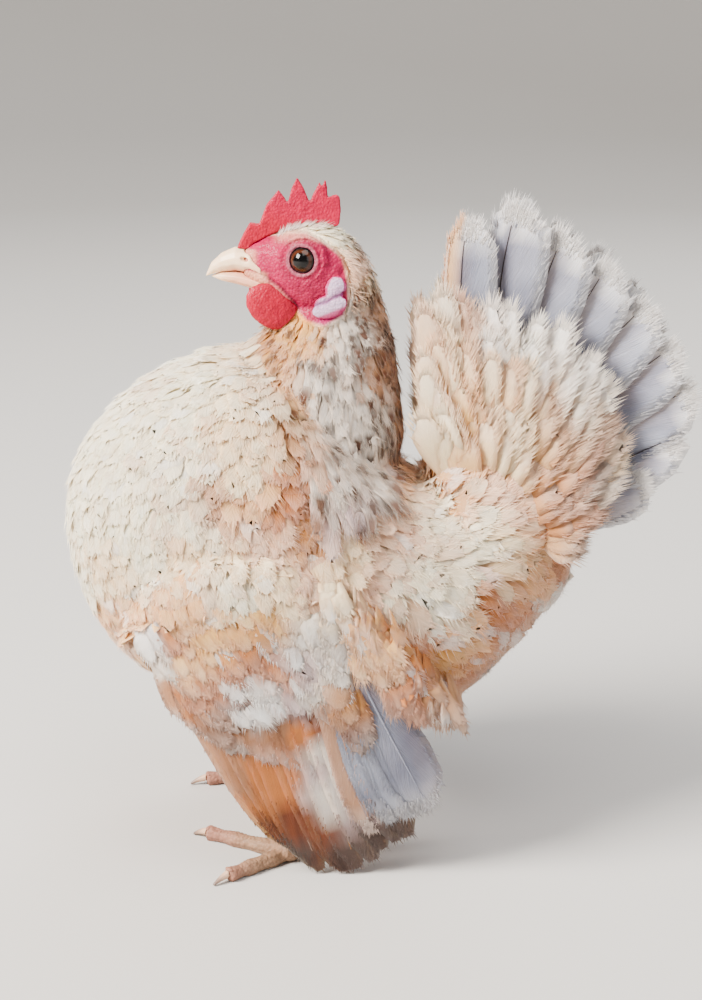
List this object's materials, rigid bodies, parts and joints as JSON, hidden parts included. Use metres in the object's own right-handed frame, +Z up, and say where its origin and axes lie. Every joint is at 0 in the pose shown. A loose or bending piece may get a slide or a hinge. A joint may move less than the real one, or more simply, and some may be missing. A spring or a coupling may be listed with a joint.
{
  "type": "serama chicken model",
  "caption": "Life-size still model of a serama hen standing upright, with full breast, hanging wings and a raised tail fan.",
  "frame": {"origin": "centre of the bounding box at floor level, z = 0, under the bird", "axes": "+Z up, the bird faces -X, its left side is towards -Y"},
  "size_m": [0.1787, 0.1027, 0.1945],
  "materials": {
    "face_skin": "pinkish red bare face skin, finely wrinkled",
    "eye_dark": "dark brown iris and black pupil, wet gloss",
    "beak_horn": "creamy horn, soft sheen",
    "comb_skin": "bright crimson skin, finely pitted, soft sheen",
    "earlobe_skin": "white to pale blue skin, soft sheen",
    "hackle_feather": "narrow silvery neck feathers with dark flecks",
    "cream_feather": "small cream and buff body feathers, matte",
    "thigh_feather": "soft buff down, matte",
    "buff_feather": "rust and buff wing feathers with white blotches",
    "grey_feather": "pale blue-grey tail feathers with white frayed tips",
    "leg_scale": "cream-yellow scaled skin, pink towards the claws",
    "claw_horn": "greyish horn"
  },
  "bodies": {
    "root": {"head": "face_skin", "eye_left": "eye_dark", "eye_right": "eye_dark", "beak_upper": "beak_horn", "beak_lower": "beak_horn", "comb": "comb_skin", "wattle_left": "comb_skin", "wattle_right": "comb_skin", "earlobe_left": "earlobe_skin", "earlobe_right": "earlobe_skin", "neck": "hackle_feather", "torso": "cream_feather", "wing_left": "buff_feather", "wing_right": "buff_feather", "tail": "grey_feather", "thigh_left": "thigh_feather", "thigh_right": "thigh_feather", "shank_left": "leg_scale", "shank_right": "leg_scale", "foot_left": "leg_scale", "foot_right": "leg_scale", "claw_left_middle": "claw_horn", "claw_left_outer": "claw_horn", "claw_left_inner": "claw_horn", "claw_left_hind": "claw_horn", "claw_right_middle": "claw_horn", "claw_right_outer": "claw_horn", "claw_right_inner": "claw_horn", "claw_right_hind": "claw_horn"}
  },
  "joints": []
}
